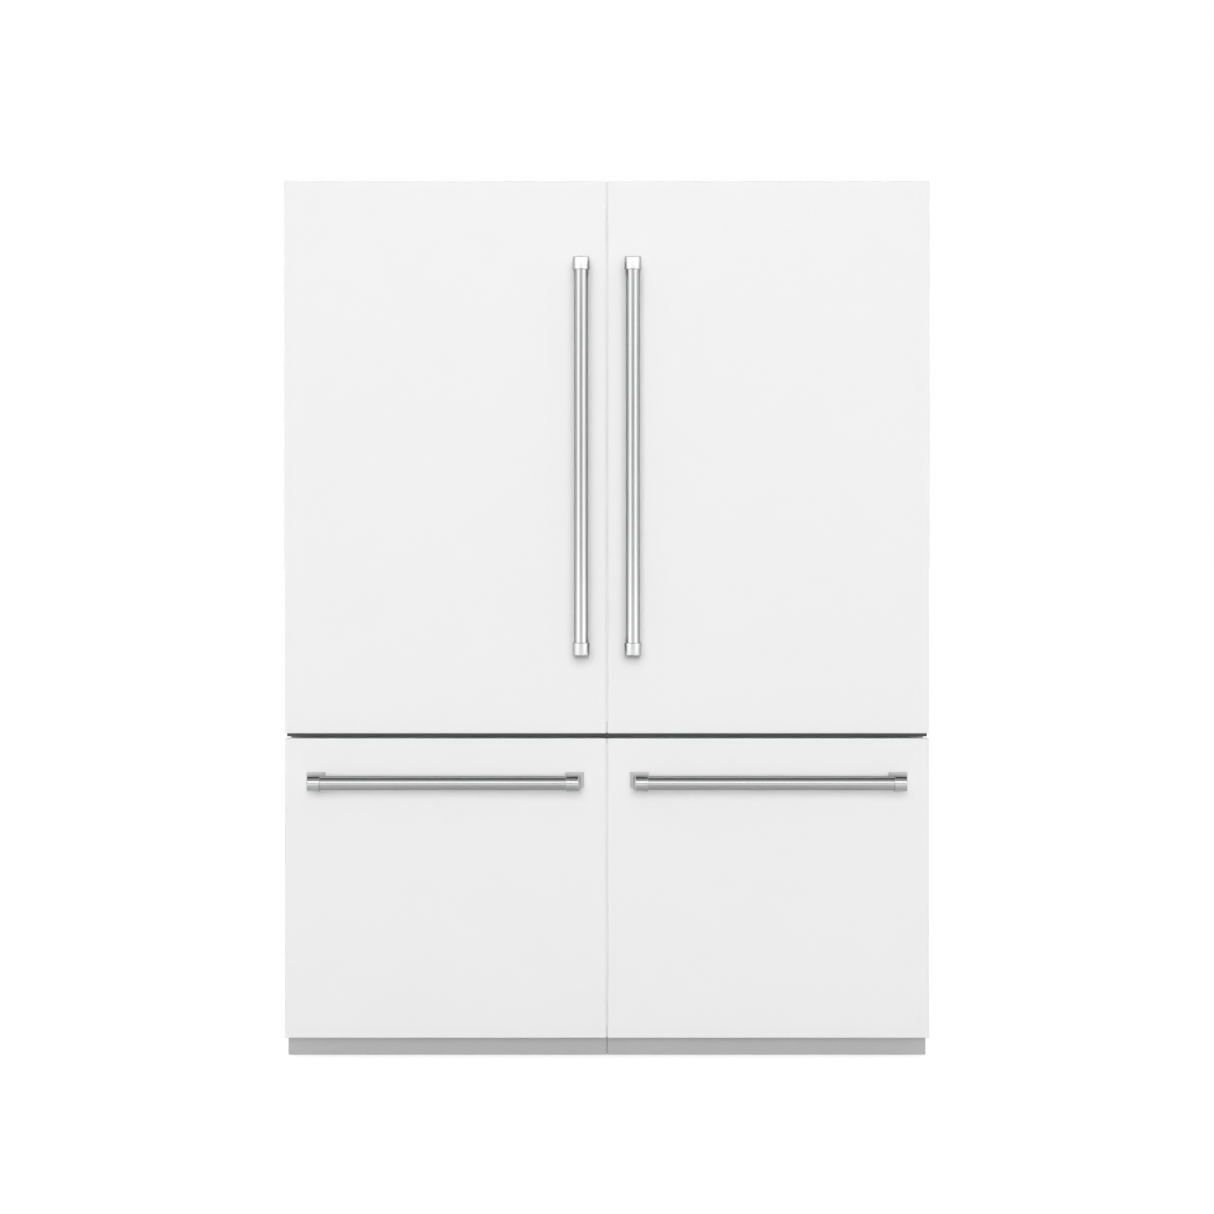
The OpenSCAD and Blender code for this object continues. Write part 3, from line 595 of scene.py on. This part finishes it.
TUB_WALL = 3 * MM
GRIP_DEPTH = 14 * MM
GRIP_HEIGHT = 20 * MM
GRIP_WALL = 3.4 * MM
TRAY_RIM = 9 * MM


def make_crisper(side):
    """A clear tub with a white grip, an angle that hangs in front of it."""
    node = f"{side}_crisper"
    low, high = (Vector(c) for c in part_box(node))
    front = (low.x, low.y + GRIP_DEPTH, low.z)
    tub(f"{side}_crisper_tub", front, high, node, "clear_bin", (node,), TUB_WALL, 16 * MM, 12 * MM)
    left, right = low.x + 1 * MM, high.x - 1 * MM
    bm = bmesh.new()
    add_soft_block(bm, (left, low.y, high.z - GRIP_HEIGHT), (right, low.y + GRIP_WALL, high.z), 1.2 * MM, 3)
    add_soft_block(bm, (left, low.y, high.z - GRIP_WALL), (right, front[1] + 1 * MM, high.z), 1.2 * MM, 3)
    finished(f"{side}_crisper_grip", bm, node, "frame")


def make_freezer_tray(side):
    """A clear tub that hangs in a white rim, which slides on the liner's ledges."""
    node = f"{side}_freezer_tray"
    low, high = (Vector(c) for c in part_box(node))
    left, right = low.x + TRAY_RIM, high.x - TRAY_RIM
    tub(f"{side}_freezer_tray_tub", (left, low.y, low.z), (right, high.y, high.z - 1 * MM), node, "clear_bin",
        (node,), TUB_WALL, 16 * MM, 12 * MM)
    bm = bmesh.new()
    for x0, x1 in ((low.x, left + 2 * MM), (right - 2 * MM, high.x)):
        add_soft_block(bm, (x0, low.y, high.z - 7 * MM), (x1, high.y, high.z), 1.5 * MM, 3)
    front_low = (left, low.y - 0.6 * MM, high.z - GRIP_HEIGHT)
    add_soft_block(bm, front_low, (right, low.y + 4 * MM, high.z), 1.4 * MM, 3)
    finished(f"{side}_freezer_tray_rim", bm, node, "frame")


def make_drawers():
    for side in SIDES:
        make_crisper(side)
        node = f"{side}_freezer_basket"
        tub(f"{node}_tub", *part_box(node), BODY_OF[node], "clear_bin", (node,), TUB_WALL, 18 * MM, 14 * MM)
        make_freezer_tray(side)


# ---------------------------------------------------------------- compartments

LINER_WALL = 3 * MM
FLANGE = 12 * MM
FLANGE_STAND_OFF = 0.25 * MM
STEP_Y = 120 * MM
STEP_Z = 365 * MM
LEDGE_REACH = 7 * MM


def lining(name, low, high, corner, replaces=(), step=None):
    """A liner seen from inside: rounded corners, open at the front, with a thin front flange.

    step is (y, z): below z the rear wall stands at y, over the machine compartment.
    """
    low, high = Vector(low), Vector(high)
    bm = bmesh.new()
    if step:
        add_block(bm, low, (high.x, step[0], high.z))
        bmesh.ops.bisect_plane(bm, geom=bm.verts[:] + bm.edges[:] + bm.faces[:], plane_co=(0, 0, step[1]),
                               plane_no=(0, 0, 1))
        upper = [f for f in faces_at(bm, 1, step[0]) if f.calc_center_median().z > step[1]]
        moved = bmesh.ops.extrude_discrete_faces(bm, faces=upper)["faces"]
        bmesh.ops.translate(bm, vec=(0, high.y - step[0], 0), verts=moved[0].verts[:])
    else:
        add_block(bm, low, high)
    bmesh.ops.delete(bm, geom=faces_at(bm, 1, low.y), context="FACES_ONLY")
    bmesh.ops.dissolve_limit(bm, angle_limit=0.01, verts=bm.verts, edges=bm.edges)
    round_edges(bm, sharp_edges(bm), corner, 6)
    rim = [e for e in bm.edges if len(e.link_faces) == 1]
    flange = bmesh.ops.extrude_edge_only(bm, edges=rim)
    verts = [g for g in flange["geom"] if isinstance(g, bmesh.types.BMVert)]
    size = high - low
    grow = Vector((1 + 2 * FLANGE / size.x, 1, 1 + 2 * FLANGE / size.z))
    bmesh.ops.scale(bm, vec=grow, verts=verts, space=Matrix.Translation(-(low + high) / 2))
    bmesh.ops.recalc_face_normals(bm, faces=bm.faces)
    bmesh.ops.reverse_faces(bm, faces=bm.faces)
    finished(name, bm, "cabinet", "liner", None, replaces)


def make_liners():
    """The four compartments; the freezers' rear walls step forward over the machine compartments."""
    front = min(low.y for low, high in islands("fridge_liners")) - FLANGE_STAND_OFF
    inset = Vector((LINER_WALL, LINER_WALL, LINER_WALL))
    for kind, step in (("fridge", None), ("freezer", (STEP_Y, STEP_Z))):
        node = f"{kind}_liners"
        for low, high in islands(node):
            side = "left" if high.x < 0 else "right"
            inner_low = Vector((low.x + LINER_WALL, front, low.z + LINER_WALL))
            lining(f"{side}_{kind}_lining", inner_low, high - inset, 10 * MM, (node,), step)


def make_shelf_ledges():
    """Moulded ledges on the liner's side walls, one under each shelf."""
    bm = bmesh.new()
    for low, high in islands("shelf_frames"):
        for x0, x1 in ((low.x, low.x + LEDGE_REACH), (high.x - LEDGE_REACH, high.x)):
            add_soft_block(bm, (x0, low.y + 12 * MM, low.z - 14 * MM), (x1, high.y, low.z), 3 * MM, 3)
    finished("shelf_ledges", bm, "cabinet", "liner")


# ---------------------------------------------------------------- small parts

def make_legs():
    """Levelling legs: a pad, a hex nut and a threaded stem."""
    half_pitch = 1.25 * MM
    bm = bmesh.new()
    for low, high in islands("leveling_legs"):
        x, y = (low.x + high.x) / 2, (low.y + high.y) / 2
        radius = (high.x - low.x) / 2
        add_drum(bm, (x, y, 0), (x, y, 7 * MM), radius, 40, 2 * MM)
        add_drum(bm, (x, y, 6.5 * MM), (x, y, 11 * MM), radius * 0.8, 40, 0.5 * MM, radius * 0.5)
        add_drum(bm, (x, y, 10 * MM), (x, y, 18 * MM), 12 * MM, 6, 0.8 * MM)
        for turn in range(9):
            z = 18 * MM + 2 * turn * half_pitch
            add_drum(bm, (x, y, z), (x, y, z + half_pitch), 5.2 * MM, 20, 0, 6 * MM)
            add_drum(bm, (x, y, z + half_pitch), (x, y, z + 2 * half_pitch), 6 * MM, 20, 0, 5.2 * MM)
    finished("leg_pads", bm, "cabinet", "leg", None, ("leveling_legs",))


def add_screw(bm, at, normal, radius):
    """A pan-head screw, seen as a low cone with a rounded rim."""
    at, normal = Vector(at), Vector(normal)
    add_drum(bm, at, at + normal * radius * 0.45, radius, 20, radius * 0.2, radius * 0.72)


def make_screws():
    """Screws round the two tall rear sheets and on the hinge plates."""
    inset, rows, outward = 12 * MM, 8, (0, 1, 0)
    bm = bmesh.new()
    for low, high in islands("rear_covers"):
        if high.z - low.z < 1.0:
            continue
        for row in range(rows):
            z = low.z + 30 * MM + row * (high.z - low.z - 60 * MM) / (rows - 1)
            for x in (low.x + inset, high.x - inset):
                add_screw(bm, (x, high.y, z), outward, 4 * MM)
        for x in (low.x + 130 * MM, (low.x + high.x) / 2, high.x - 130 * MM):
            for z in (low.z + inset, high.z - inset):
                add_screw(bm, (x, high.y, z), outward, 4 * MM)
    for low, high in islands("top_hinges"):
        if high.x - low.x < 20 * MM:
            continue
        x = (low.x + high.x) / 2
        for back in (20, 60, 100):
            add_screw(bm, (x, high.y - back * MM, high.z), (0, 0, 1), 5 * MM)
    finished("cover_screws", bm, "cabinet", "zinc")


def make_controls():
    """Smoked touch panels, each with a row of five plain round touch marks."""
    softened("control_panels", 1.2 * MM, 3)
    bm = bmesh.new()
    for low, high in islands("control_panels"):
        y = high.y - 28 * MM
        for index in range(-2, 3):
            x = (low.x + high.x) / 2 + index * 42 * MM
            add_drum(bm, (x, y, low.z - 0.25 * MM), (x, y, low.z + 0.5 * MM), 7 * MM, 32, 0.1 * MM)
    finished("touch_marks", bm, "cabinet", "light")


def make_shelves():
    """Glass shelves in white frames, each with a bright trim along its front."""
    softened("shelf_frames", 1.6 * MM, 3)
    softened("glass_shelves", 0.8 * MM, 2)
    bm = bmesh.new()
    for low, high in islands("shelf_frames"):
        trim_low = (low.x + 2 * MM, low.y - 1.2 * MM, low.z + 3 * MM)
        add_soft_block(bm, trim_low, (high.x - 2 * MM, low.y + 1 * MM, high.z - 3 * MM), 0.8 * MM, 3)
    finished("shelf_trims", bm, "cabinet", "handle", "handle_x")


# ---------------------------------------------------------------- studio

# Width of the frame at the panels' front, and the camera's distance from it
FRAME = 2853.4 * MM
DISTANCE = 5.0
SHIFT = -0.065
# How far below the top of the door panels the frame's middle lies
FRAME_MIDDLE = 1001 * MM


def make_camera():
    """A level camera in front of the doors, a little above mid height."""
    data = bpy.data.cameras.new("camera")
    camera = bpy.data.objects.new("camera", data)
    bpy.context.scene.collection.objects.link(camera)
    panel_low, panel_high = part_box("right_door_panel")
    data.sensor_width = 36.0
    data.lens = data.sensor_width * DISTANCE / FRAME
    data.shift_y = SHIFT
    camera.location = (0.0, panel_low[1] - DISTANCE, panel_high[2] - FRAME_MIDDLE - SHIFT * FRAME)
    camera.rotation_euler = (math.radians(90), 0, 0)
    data.clip_start, data.clip_end = 0.1, 200.0
    bpy.context.scene.camera = camera


# The brightest level a ramp can give
BRIGHT = 10.0
SOFT_BOX = 9.6
# What reflections see round the horizon: from behind the object (-1) to in front of it (1)
AROUND = ((-1.0, 0.25), (-0.64, 0.10), (-0.34, 0.18), (0.0, 0.70), (0.34, 1.2), (0.60, 1.9), (0.76, 1.9),
          (0.90, 1.2), (0.985, 0.65), (1.0, 0.50))


def ramp_at(paint, value, *stops):
    """A ramp over a value that runs from -1 to 1; the levels are given in real brightness."""
    places = tuple(((place + 1.0) / 2.0, level / BRIGHT) for place, level in stops)
    return paint.node("ShaderNodeValToRGB", {"stops": places}, value * 0.5 + 0.5) * BRIGHT


def make_world():
    """A white room with a round soft box in front, a little above; only reflections see darker bands."""
    paint = Paint("studio", world=True)
    direction = paint.node("ShaderNodeTexCoord", None, out=0)
    x, y, z = (paint.node("ShaderNodeSeparateXYZ", None, direction, out=k) for k in range(3))
    front = y * -1.0
    level = (x * x + y * y).math("SQRT", x * x + y * y)
    facing = front.math("DIVIDE", front, level)
    around = ramp_at(paint, facing, *AROUND)
    above = ramp_at(paint, z, (0.0, 2.3), (0.38, 2.2), (0.54, 0.40), (0.77, 0.60), (0.94, 0.15), (1.0, 0.08))
    rise = ramp_at(paint, z, (0.155, 0.0), (0.19, 1.0)).clamped(0.0, 1.0)
    seen = around * (1.0 - rise) + above * rise
    box = front * 0.985 + z * 0.174
    soft = ramp_at(paint, box, (-1.0, 1.0), (-0.3, 1.0), (0.0, 0.45), (0.955, 0.42), (0.975, SOFT_BOX),
                   (1.0, SOFT_BOX))
    camera_ray, glossy_ray = (paint.node("ShaderNodeLightPath", None, out=k) for k in (0, 3))
    strength = glossy_ray * seen + (1.0 - glossy_ray) * (camera_ray + (1.0 - camera_ray) * soft)
    background = paint.node("ShaderNodeBackground", None, (1.0, 1.0, 1.0, 1.0), strength)
    paint.node("ShaderNodeOutputWorld", None, background)
    bpy.context.scene.world = paint.block


def make_floor():
    """A pale floor, far larger than the view; reflections see it blend into the room's bands."""
    bm = bmesh.new()
    bmesh.ops.create_circle(bm, cap_ends=True, segments=96, radius=60.0)
    mesh = bpy.data.meshes.new("studio_floor")
    bm.to_mesh(mesh)
    bm.free()
    floor = bpy.data.objects.new("studio_floor", mesh)
    bpy.context.scene.collection.objects.link(floor)
    paint = Paint("pale_floor")
    drift = paint.noise(0.6, 2.0)
    x, y = (paint.node("ShaderNodeSeparateXYZ", None, paint.place(), out=k) for k in range(2))
    reach = (x * x + y * y).math("SQRT", x * x + y * y)
    near = ramp_at(paint, reach * 0.1, (0.0, 0.15), (0.1, 0.35), (0.25, 0.85), (0.6, 1.1))
    around = ramp_at(paint, (y * -1.0).math("DIVIDE", y * -1.0, reach), *AROUND)
    away = ramp_at(paint, reach * 0.05, (0.3, 0.0), (0.5, 1.0)).clamped(0.0, 1.0)
    far = near * (1.0 - away) + around * away
    camera_ray, glossy_ray = (paint.node("ShaderNodeLightPath", None, out=k) for k in (0, 3))
    shader = paint.node("ShaderNodeBsdfPrincipled", None)
    for key, value in {"Base Color": paint.mix(drift, grey(0.50), grey(0.52)), "Roughness": 0.9,
                       "Specular IOR Level": 0.0, "Emission Color": camera_ray * 0.80 + glossy_ray * far,
                       "Emission Strength": 1.0}.items():
        paint.feed(shader.made.inputs[key], value)
    paint.node("ShaderNodeOutputMaterial", None, shader)
    mesh.materials.append(paint.block)


# ---------------------------------------------------------------- assembly

# The small round on the edges of the remaining sheet and moulded parts, in mm
EDGE_ROUNDS = (("rear_covers", 0.3), ("toe_kicks", 0.6), ("hinge_rails", 0.8), ("top_hinges", 0.8),
               ("tie_bracket", 0.5), ("crisper_frames", 2.0), ("air_covers", 0.8), ("freezer_rails", 0.5),
               ("led_light_bars", 1.5), ("rear_fittings", 0.3))

bpy.context.scene.view_settings.view_transform = "Standard"
make_camera()
make_world()
make_floor()
make_panels()
make_joiners()
make_bodies()
for side in SIDES:
    gasket_ring(f"{side}_door_gasket")
    gasket_ring(f"{side}_drawer_gasket")
    make_handle(side, "door", 2)
    make_handle(side, "drawer", 0)
make_bins()
make_drawers()
make_liners()
make_shelf_ledges()
make_shelves()
make_controls()
make_legs()
make_screws()
for side in SIDES:
    softened(f"{side}_cabinet_shell", 0.5 * MM, 2)
    softened(f"{side}_drawer_slides", 0.6 * MM, 2)
    softened(f"{side}_slide_middles", 0.6 * MM, 2)
for node, radius in EDGE_ROUNDS:
    softened(node, radius * MM, 2)
for node in ("insulation", "evaporators", "compressors", "condensers"):
    dress(node)
for side in SIDES:
    dress(f"{side}_evaporator_fan")
    dress(f"{side}_condenser_fan")

even_normals()

bpy.context.view_layer.update()
